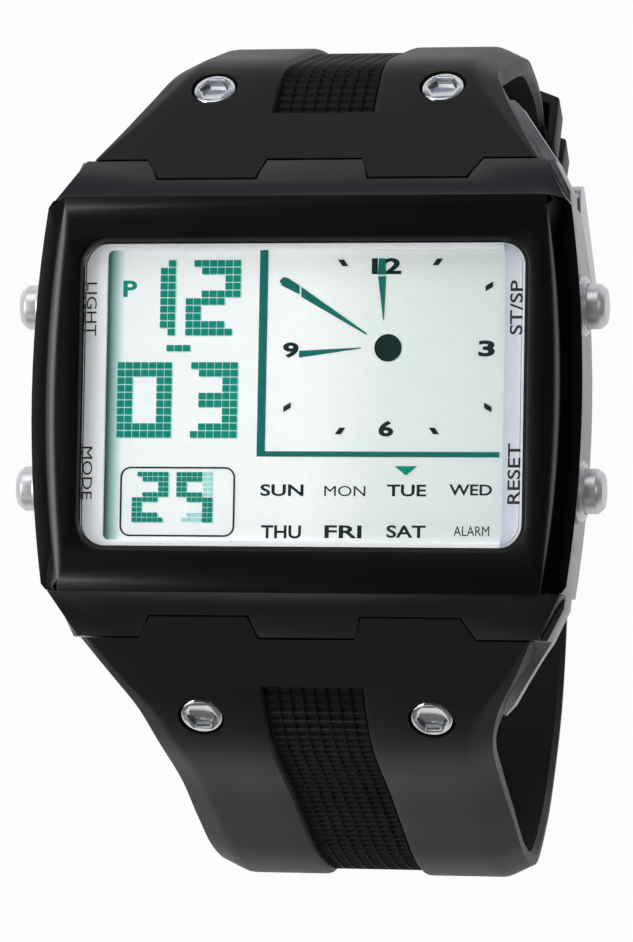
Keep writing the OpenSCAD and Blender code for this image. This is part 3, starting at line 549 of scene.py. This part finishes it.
def strap_half(run, curve, name):
    """One half of the strap: a flat strip, shaped in the flat, then bent along its run."""
    start, end = GROOVE_SPAN[run.side]
    count = int(run.length / 1.25)
    stations = [run.length * i / count for i in range(count + 1)]
    stations = [s for s in stations if min(abs(s - start), abs(s - end)) > 0.45]
    stations = sorted(stations + [start - 0.3, start - 0.1, start + 0.05, end - 0.05, end + 0.1])
    columns = 2 * len(outer_line(run, 0, 0))
    bpy.ops.mesh.primitive_grid_add(x_subdivisions=len(stations) - 1,
                                    y_subdivisions=columns - 1, size=1)
    strip = bpy.context.object
    lines = []
    for s in stations:
        line = outer_line(run, s, GROOVE_DEEP if start < s < end else 0)
        lines.append([(-y, z) for y, z in reversed(line)] + line)
    for v in strip.data.vertices:
        i = round((v.co.x + 0.5) * (len(stations) - 1))
        j = round((v.co.y + 0.5) * (columns - 1))
        v.co = (stations[i], *lines[i][j])
    thicken(strip, (0, 0, -20))
    for v in strip.data.vertices:
        if v.co.z < -10:
            s = v.co.x
            w, under, t = half_w(run, s), under_half_w(run, s), thickness(run, s)
            y = abs(v.co.y)
            if y > w - 1e-3:
                v.co.y, v.co.z = math.copysign(under, v.co.y), UNDER_EDGE - t
            else:
                k = 1 - 0.9 * max(run.at(run.share_at(s))[2], 0)
                if y > w - (FACET_W - 0.5) * k - 1e-3:
                    v.co.y = math.copysign(under - UNDER_EDGE, v.co.y)
                v.co.z = -t
            if s < 6:
                v.co.x += t * math.tan(SLOPE) * (1 - s / 6)
    # Tabs that reach into the bezel's notches
    edit(strip, "FACE", lambda f: f.normal.x < -0.5 and f.center.x < 2
         and TAB_FROM < abs(f.center.y) < TAB_TO)
    bpy.ops.mesh.extrude_region_move(TRANSFORM_OT_translate={"value": (-TAB_REACH, 0, 0)})
    close()
    for v in strip.data.vertices:
        if v.co.x < -0.05:
            y = abs(v.co.y)
            end = TAB_END_FROM if y < 5.3 else TAB_END_TO if y > 13 else y
            v.co.y = math.copysign(end, v.co.y)
            if v.co.z < -1:
                v.co.x = -TAB_REACH + TAB_LEAN
                v.co.z = -TAB_T
    tidy(strip, 1e-4)
    strip.data.transform(Matrix.Translation((LEAD, 0, 0)))
    apply(strip, "CURVE", object=curve, deform_axis="POS_X")
    strip.name = name
    return strip


def slot_cutter():
    bpy.ops.mesh.primitive_cylinder_add(vertices=32, radius=HOLE_W / 2, depth=9)
    cutter = bpy.context.object
    edit(cutter, "VERT", lambda v: v.co.y > 0.01)
    bpy.ops.transform.translate(value=(0, HOLE_L - HOLE_W, 0))
    close()
    cutter.data.transform(Matrix.Translation((0, (HOLE_W - HOLE_L) / 2, 0)))
    return cutter


def cut(piece, cutters):
    cutter = join(cutters)
    apply(piece, "BOOLEAN", operation="DIFFERENCE", object=cutter, solver="EXACT")
    bpy.data.objects.remove(cutter)
    return piece


def screw_frame(run, x):
    """Turns Z out of the strap at a screw."""
    return run.frame_at(SCREW_ROWS[run.side] / (len(run.points) - 1), x=x)


def screw_cutters(run):
    """A stepped cutter at each screw: the bore, widened to the head's well."""
    bpy.ops.mesh.primitive_cylinder_add(vertices=48, radius=SCREW_BORE_R, depth=8,
                                        location=(0, 0, -5.35))
    tool = settle(bpy.context.object)
    edit(tool, "FACE", lambda f: f.normal.z > 0.5)
    bpy.ops.mesh.extrude_region_move()
    widen = SCREW_WELL_R / SCREW_BORE_R
    bpy.ops.transform.resize(value=(widen, widen, 1))
    bpy.ops.mesh.extrude_region_move(TRANSFORM_OT_translate={"value": (0, 0, 5)})
    close()
    tidy(tool, 1e-4)
    cutters = [copy_at(tool, screw_frame(run, x)) for x in (-SCREW_X, SCREW_X)]
    bpy.data.objects.remove(tool)
    return cutters


def ribbed_inlay(run, curve):
    """The grid of thin ribs in the strap's groove: each of its cells is inset and pressed in."""
    start, end = GROOVE_SPAN[run.side]
    start, end = start + 0.1, end - 0.1
    count = round((end - start) / INLAY_PITCH)
    bpy.ops.mesh.primitive_grid_add(x_subdivisions=count, y_subdivisions=INLAY_CELLS, size=1)
    inlay = bpy.context.object
    inlay.scale = (end - start, 2 * GROOVE_HALF - 0.3, 1)
    inlay.location = ((start + end) / 2, 0, 0.3 - GROOVE_DEEP)
    settle(inlay)
    thicken(inlay, (0, 0, -0.8))
    edit(inlay, "FACE", lambda f: f.normal.z > 0.5)
    bpy.ops.mesh.inset(thickness=0.15, use_individual=True)
    bpy.ops.transform.translate(value=(0, 0, -0.34))
    close()
    inlay.data.transform(Matrix.Translation((LEAD, 0, 0)))
    apply(inlay, "CURVE", object=curve, deform_axis="POS_X")
    return inlay


def straps():
    for run, half in ((UPPER, "strap_upper"), (LOWER, "strap_lower")):
        curve = curve_of(run)
        piece = strap_half(run, curve, half)
        cutters = screw_cutters(run)
        if run is LOWER:
            slot = slot_cutter()
            cutters += [copy_at(slot, run.frame_at(u)) for u in HOLE_SHARES]
            y, z = (BAR_AT[k] + TONGUE_HOLE * BAR_ON[k] for k in (0, 1))
            turn = Matrix.Rotation(math.atan2(BAR_OUT[1], BAR_OUT[0]) - math.pi / 2, 4, "X")
            cutters.append(copy_at(slot, Matrix.Translation((0, y, z)) @ turn))
            bpy.data.objects.remove(slot)
        else:
            bpy.ops.mesh.primitive_cylinder_add(vertices=48, radius=TAIL_T / 2 + WRAP_WALL,
                                                depth=TAIL_W, rotation=(0, math.pi / 2, 0),
                                                location=(0, *BAR_AT))
            wrap = settle(bpy.context.object)
            apply(piece, "BOOLEAN", operation="UNION", object=wrap, solver="EXACT")
            bpy.data.objects.remove(wrap)
            for radius, length in ((BAR_BORE_R, 40), (TONGUE_RING_R, TONGUE_RING_W)):
                bpy.ops.mesh.primitive_cylinder_add(vertices=32, radius=radius, depth=length,
                                                    rotation=(0, math.pi / 2, 0),
                                                    location=(0, *BAR_AT))
                cutters.append(settle(bpy.context.object))
        cut(piece, cutters)
        settle(piece, MM)
        finish(piece, half + "_rubber", "case", RUBBER, (half,), angle=22)
        inlay = settle(ribbed_inlay(run, curve), MM)
        finish(inlay, half + "_ribbed_inlay", "case", GROOVE_RUBBER, angle=25)
        bpy.data.objects.remove(curve)


def keeper_outline(grow):
    """A keeper's opening, its outer corners cut like the strap's, grown by a wall."""
    w = TAIL_W / 2 + KEEPER_GAP + grow
    low = -TAIL_T - KEEPER_GAP - grow
    high = TAIL_GAP + TAIL_T + KEEPER_GAP + grow
    return [(-w, low), (w, low), (w, high - FACET_DROP), (w - FACET_W, high), (FACET_W - w, high),
            (-w, high - FACET_DROP)]


def keeper(node, body):
    """A band round both straps: its outline drawn out, opened up, and its edges rounded."""
    band = plate(node, keeper_outline(KEEPER_T), -KEEPER_W / 2, KEEPER_W / 2)
    cut(band, [plate("opening", keeper_outline(0), -KEEPER_W, KEEPER_W)])
    apply(band, "BEVEL", width=0.26, segments=3, limit_method="ANGLE", angle_limit=0.35)
    tidy(band, 1e-4)
    band.data.transform(UPPER.frame_at(KEEPER_SHARES[node]) @ Matrix.Rotation(math.pi / 2, 4, "X"))
    settle(band, MM)
    finish(band, node + "_band", body, RUBBER, (node,))


# The display's artwork, in millimetres on the display's face

TWO = ["1-6", "2-6", "5-6", "5-6", "2-6", "0-4", "0-1", "0-1", "0-4", "0-5"]
ONE = ["1-1"] + ["0-1"] * 8 + ["1-1"]
ZERO = ["0-6", "0-6"] + ["0-1 5-6"] * 6 + ["0-6", "0-6"]
THREE = ["1-6", "2-6", "5-6", "5-6", "2-6", "2-6", "5-6", "5-6", "2-6", "1-6"]
FIVE = ["0-4", "0-4", "0-1", "0-1", "0-4", "2-6", "5-6", "5-6", "5-6", "5-6"]
FIVE_FAINT = ["5-6", "5-6", "5-6", "5-6", "5-6", "", "", "", "2-4", "1-4"]
BIG, SMALL = (0.732, 0.697), (0.487, 0.462)
DIGITS = [(ONE, -13.5, 12.32, BIG), (TWO, -11.12, 12.32, BIG),
          (["0-2"], -12.84, 4.57, (0.76, 0.66)),
          (ZERO, -17.35, 3.0, BIG), (THREE, -11.23, 3.0, BIG),
          (TWO, -15.78, -7.0, SMALL), (FIVE, -11.65, -7.0, SMALL)]
FAINT_DIGITS = [(FIVE_FAINT, -11.65, -7.0, SMALL)]
MARKS = [  # the dial's slanted marks: each one's centre and how far it leans
    (3.42, 12.02, 0.42), (12.1, 12.08, -0.42), (16.84, 9.86, 1), (16.86, -1.06, -1),
    (12.0, -3.2, 0.42), (3.4, -3.22, -0.42), (-1.52, -1.08, 1)]
HUB_AT, HUB_R = (7.67, 4.31), 1.25


def plate(name, outline, low, high):
    """A thin flat plate of the given outline between two heights."""
    bpy.ops.mesh.primitive_circle_add(vertices=len(outline), radius=1, fill_type="NGON")
    piece = bpy.context.object
    for v, (x, y) in zip(piece.data.vertices, outline):
        v.co = (x, y, low)
    thicken(piece, (0, 0, high - low))
    piece.name = name
    return piece


def square(x0, y0, x1, y1):
    return [(x0, y0), (x1, y0), (x1, y1), (x0, y1)]


def dotted(name, digits, low, high, shift=(0, 0), trim=0.0):
    pieces = []
    for rows, left, top, (across, down) in digits:
        gap_x, gap_y = 0.1 * across + trim, 0.15 * down + trim
        dot = plate(name, square(gap_x / 2, gap_y - down, across - gap_x / 2, 0), low, high)
        for r, row in enumerate(rows):
            for span in row.split():
                first, last = (int(n) for n in span.split("-"))
                for c in range(first, last + 1):
                    place = (left + c * across + shift[0], top - r * down + shift[1], 0)
                    pieces.append(copy_at(dot, Matrix.Translation(place)))
        bpy.data.objects.remove(dot)
    return join(pieces)


def words(text, box, low, turn=0.0, weight=0.0):
    """Plain lettering that fills a box (centre x, centre y, length, height), turned in place."""
    x, y, length, height = box
    bpy.ops.object.text_add()
    piece = bpy.context.object
    piece.data.body = text
    piece.data.extrude = 0.01
    piece.data.resolution_u = 4
    piece.data.offset = weight
    bpy.ops.object.convert(target="MESH")
    piece = bpy.context.object
    xs = [v.co.x for v in piece.data.vertices]
    ys = [v.co.y for v in piece.data.vertices]
    wide, high = max(xs) - min(xs), max(ys) - min(ys)
    centre = Matrix.Translation((-(min(xs) + max(xs)) / 2, -(min(ys) + max(ys)) / 2, 0))
    size = Matrix.Diagonal((length / wide, height / high, 1, 1))
    turned = Matrix.Translation((x, y, low + 0.01)) @ Matrix.Rotation(math.radians(turn), 4, "Z")
    piece.data.transform(turned @ size @ centre)
    return piece


def ring_outline(x0, y0, x1, y1, r, steps=6):
    points = []
    for cx, cy, start in ((x1 - r, y1 - r, 0), (x0 + r, y1 - r, 90), (x0 + r, y0 + r, 180),
                          (x1 - r, y0 + r, 270)):
        for i in range(steps + 1):
            a = math.radians(start + 90 * i / steps)
            points.append((cx + r * math.cos(a), cy + r * math.sin(a)))
    return points


def rounded_frame(x0, y0, x1, y1, r, line, low, high):
    """The thin rounded frame round the small digits: a plate with its middle taken out."""
    piece = plate("frame", ring_outline(x0, y0, x1, y1, r), low, high)
    middle = plate("middle", ring_outline(x0 + line, y0 + line, x1 - line, y1 - line, r - line),
                   low - 1, high + 1)
    return cut(piece, [middle])


def display_artwork():
    low, high = LCD_TOP - 0.01, LCD_TOP + 0.05
    # Pale teal copies of the digits, shifted right and down, are painted shadows of the digits on
    # the display
    shade = (0.13, -0.1)
    shades = dotted("shade", DIGITS, low, LCD_TOP + 0.012, shade)
    hands = {
        "long_tip": [(-2.42, 10.4), (-2.06, 10.75), (-1.68, 10.68), (-0.56, 9.98), (-0.56, 9.18),
                     (-2.16, 9.95)],
        "long": [(-0.38, 9.84), (5.72, 5.62), (5.66, 5.5), (-0.38, 8.94)],
        "short": [(-0.5, 4.04), (5.2, 4.34), (5.2, 4.26), (-0.5, 3.42)],
        "upright": [(6.65, 10.8), (7.38, 10.8), (7.24, 6.82), (7.18, 6.82)],
        "upright_tip": [(6.72, 12.42), (7.3, 12.42), (7.36, 10.95), (6.62, 10.95)],
    }
    line = join([plate("line", square(-4.25, -5.56, -3.5, 13.4), low, high),
                 plate("line", square(-3.52, -5.56, 17.97, -5.08), low, high)])
    hand_pieces = [plate(n, o, low, high + 0.012) for n, o in hands.items()]
    finish(settle(join([line] + hand_pieces), MM), "display_lines_and_hands", "case",
           TEAL_LINE)
    finish(settle(shades, MM), "display_digit_painted_shadows", "case", TEAL_PAINTED_SHADOW)
    marks = []
    for x, y, lean in MARKS:
        if abs(lean) < 1:
            outline = [(x - 0.27 - lean / 2, y + 0.3), (x + 0.27 - lean / 2, y + 0.3),
                       (x + 0.27 + lean / 2, y - 0.3), (x - 0.27 + lean / 2, y - 0.3)]
        else:
            outline = [(x - 0.34, y + 0.25 - lean * 0.2), (x + 0.34, y + 0.25 + lean * 0.2),
                       (x + 0.34, y - 0.25 + lean * 0.2), (x - 0.34, y - 0.25 - lean * 0.2)]
        marks.append(plate("mark", outline, low, high))
    turns = [math.radians(7.5 * i) for i in range(48)]
    marks.append(plate("hub", [(HUB_AT[0] + HUB_R * math.cos(a), HUB_AT[1] + HUB_R * math.sin(a))
                               for a in turns], low, high))
    frame_line = rounded_frame(-16.86, -12.86, -6.2, -6.53, 0.95, 0.15, low, high)
    printed = [
        words("12", (7.42, 11.72, 2.72, 1.47), low, weight=0.035),
        words("3", (16.68, 4.25, 1.5, 1.47), low, weight=0.04),
        words("6", (7.6, -3.0, 1.36, 1.45), low, weight=0.04),
        words("9", (-1.27, 4.1, 1.46, 1.42), low, weight=0.04),
        words("SUN", (-1.85, -8.6, 3.98, 1.08), low, weight=0.022),
        words("MON", (3.93, -8.65, 3.78, 0.94), low),
        words("TUE", (9.58, -8.58, 3.58, 1.08), low, weight=0.022),
        words("WED", (15.42, -8.5, 3.9, 1.0), low, weight=0.02),
        words("THU", (-1.87, -12.38, 3.68, 1.2), low, weight=0.022),
        words("FRI", (3.83, -12.33, 3.4, 1.16), low, weight=0.022),
        words("SAT", (9.6, -12.28, 3.58, 1.14), low, weight=0.022),
        words("ALARM", (15.55, -12.2, 3.24, 0.88), low),
    ]
    print_piece = join(printed + marks + [frame_line])
    finish(settle(print_piece, MM), "display_print", "case", PRINT)
    digits = dotted("digits", DIGITS, low, high)
    letter = words("P", (-16.3, 9.72, 1.3, 1.5), low, weight=0.03)
    pointer = plate("pointer", [(8.45, -6.38), (10.5, -6.38), (9.5, -7.22)], low, high)
    finish(settle(join([digits, letter, pointer]), MM),
           "display_digits", "case", TEAL)
    faint = dotted("faint", FAINT_DIGITS, low, high, trim=0.04)
    finish(settle(faint, MM), "display_faint_dots", "case", TEAL_PALE)


def flange_words():
    low = FLANGE_TOP - 0.005
    pieces = [words("LIGHT", (-19.75, 7.8, 4.9, 0.95), low, turn=-90),
              words("MODE", (-19.85, -7.15, 4.8, 0.92), low, turn=-90),
              words("ST/SP", (19.4, 7.9, 4.9, 1.15), low, turn=90, weight=0.012),
              words("RESET", (19.4, -7.05, 5.45, 1.15), low, turn=90, weight=0.012)]
    finish(settle(join(pieces), MM), "flange_lettering", "case", PRINT_BLACK)


# The hard pieces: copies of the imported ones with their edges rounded

HARD = [
    ("bezel", 0.22, "case", "bezel_black", BLACK),
    ("mid_case", 0.12, "case", "case_steel", STEEL),
    ("case_back", 0.1, "case", "case_steel", STEEL),
    ("display_mask", 0.08, "case", "mask_silver", FLANGE),
    ("pusher_sleeves", 0.08, "case", "case_steel", BUTTON),
    ("light_pusher", 0.1, "light_button", "bright_steel", BUTTON),
    ("mode_pusher", 0.1, "mode_button", "bright_steel", BUTTON),
    ("start_stop_pusher", 0.1, "start_stop_button", "bright_steel", BUTTON),
    ("reset_pusher", 0.1, "reset_button", "bright_steel", BUTTON),
    ("strap_screws", 0.08, "case", "bright_steel", BRIGHT),
    ("buckle_frame", 0.3, "buckle", "buckle_steel", BUCKLE),
    ("buckle_tongue", 0.15, "tongue", "buckle_steel", BUCKLE),
]
PLAIN = {
    "crystal": GLASS, "crystal_gasket": SEAL, "lcd_panel": DISPLAY, "backlight_panel": BACKLIGHT,
    "zebra_connectors": ZEBRA, "side_contacts": BRASS, "module_frame": FRAME_WHITE,
    "circuit_board": BOARD, "controller_chip": CHIP, "quartz_crystal": PLAIN_STEEL,
    "coin_cell": PLAIN_STEEL, "battery_clip": PLAIN_STEEL, "buzzer_disc": BRASS,
    "buzzer_spring": PLAIN_STEEL, "case_back_gasket": SEAL, "case_back_screws": PLAIN_STEEL,
    "pusher_seals": SEAL, "light_clip": PLAIN_STEEL, "mode_clip": PLAIN_STEEL,
    "start_stop_clip": PLAIN_STEEL, "reset_clip": PLAIN_STEEL, "spring_bar": BUCKLE,
}


def side_edge(co):
    """The edge where the bezel's face meets its leaning sides."""
    return co.z > CASE_H - 0.02 and abs(co.x) > 21.4 and abs(co.y) < 16.6


def hard_pieces():
    for node, width, body, slot, finish_of in HARD:
        sides = side_edge if node == "bezel" else None
        finish(softened(node, width, round_first=sides), node + "_finished", body,
               finish_of, (node,))
    for node, look in PLAIN.items():
        mesh = nodes[node].data
        mesh.materials.clear()
        mesh.materials.append(look)
    for button, side in (("light", -1), ("mode", -1), ("start_stop", 1), ("reset", 1)):
        node = button + "_spring"
        coil = tidy(copy_at(nodes[node], nodes[node].matrix_world), 2e-6)
        finish(coil, node + "_coil", "case", PLAIN_STEEL, (node,))
        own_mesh(coil)


# The setting

def white_floor():
    bpy.ops.mesh.primitive_plane_add(size=8, location=(0, 0, REST_Z * MM - 0.0001))
    floor = bpy.context.object
    floor.name = "floor"
    mat, nt, shader = material("floor_white")
    shader.inputs["Base Color"].default_value = grey(0.4)
    shader.inputs["Roughness"].default_value = 0.9
    glow = add(nt, "Emission", Strength=1.0)
    path = nt.nodes.new("ShaderNodeLightPath")
    also = reckon(nt, "ADD", path.outputs["Is Glossy Ray"], path.outputs["Is Transmission Ray"])
    seen = reckon(nt, "ADD", path.outputs["Is Camera Ray"], also.outputs["Value"])
    seen.use_clamp = True
    part = reckon(nt, "MULTIPLY", seen.outputs["Value"], 0.97)
    shown(nt, part.outputs["Value"], shader.outputs["BSDF"], glow.outputs["Emission"])
    floor.data.materials.append(mat)


def lamp(name, place, size, power):
    light = bpy.data.lights.new(name, "AREA")
    light.shape = "RECTANGLE"
    light.size, light.size_y = size
    light.energy = power
    obj = bpy.data.objects.new(name, light)
    bpy.context.scene.collection.objects.link(obj)
    obj.location = place
    obj.rotation_euler = (Vector((0, 0, 0)) - Vector(place)).to_track_quat("-Z", "Y").to_euler()
    return obj


def studio():
    """Softboxes round the watch, and dim surroundings."""
    lamp("left_softbox", (-0.62, 0.0, 0.62), (0.6, 0.35), 3.2)
    lamp("left_strip", (-0.42, 0.0, 0.17), (0.5, 0.12), 0.35)
    lamp("right_softbox", (0.75, 0.1, 0.75), (0.4, 0.4), 1.3)
    lamp("top_softbox", (-0.3, 0.82, 0.66), (0.8, 0.6), 3.4)
    lamp("bottom_softbox", (-0.45, -0.8, 0.62), (0.8, 0.3), 0.8)
    world = bpy.context.scene.world or bpy.data.worlds.new("studio")
    bpy.context.scene.world = world
    world.use_nodes = True
    nt = world.node_tree
    sky = nt.nodes["Background"]
    place = nt.nodes.new("ShaderNodeTexCoord")
    axes = nt.nodes.new("ShaderNodeSeparateXYZ")
    nt.links.new(place.outputs["Generated"], axes.inputs["Vector"])
    aside = add(nt, "MapRange")
    aside.inputs["From Min"].default_value = -1.0
    nt.links.new(axes.outputs["Y"], aside.inputs["Value"])
    shade = ramp(nt, aside.outputs["Result"], [
        (0.0, grey(0.2)), (0.25, grey(0.08)), (0.5, grey(0.04)), (0.8, grey(0.08)),
        (0.95, rgb("8f95a0")), (1.0, rgb("9aa0ac"))])
    nt.links.new(shade, sky.inputs["Color"])
    sky.inputs["Strength"].default_value = 1.0


def camera():
    data = bpy.data.cameras.new("camera")
    data.sensor_width = 36
    data.lens = 199.5
    data.clip_start, data.clip_end = 0.01, 20
    obj = bpy.data.objects.new("camera", data)
    bpy.context.scene.collection.objects.link(obj)
    right, up = Vector((0.98104, 0.01776, -0.19301)), Vector((-0.00425, 0.99753, 0.07018))
    back = Vector((0.19378, -0.06802, 0.97868))
    turn = Matrix((right, up, back)).transposed().to_4x4()
    obj.matrix_world = Matrix.Translation((0.0926, -0.0389, 0.4727)) @ turn
    bpy.context.scene.camera = obj


hard_pieces()
straps()
keeper("fixed_keeper", "case")
keeper("sliding_keeper", "keeper")
display_artwork()
flange_words()
white_floor()
studio()
camera()
bpy.context.scene.view_settings.view_transform = "Standard"
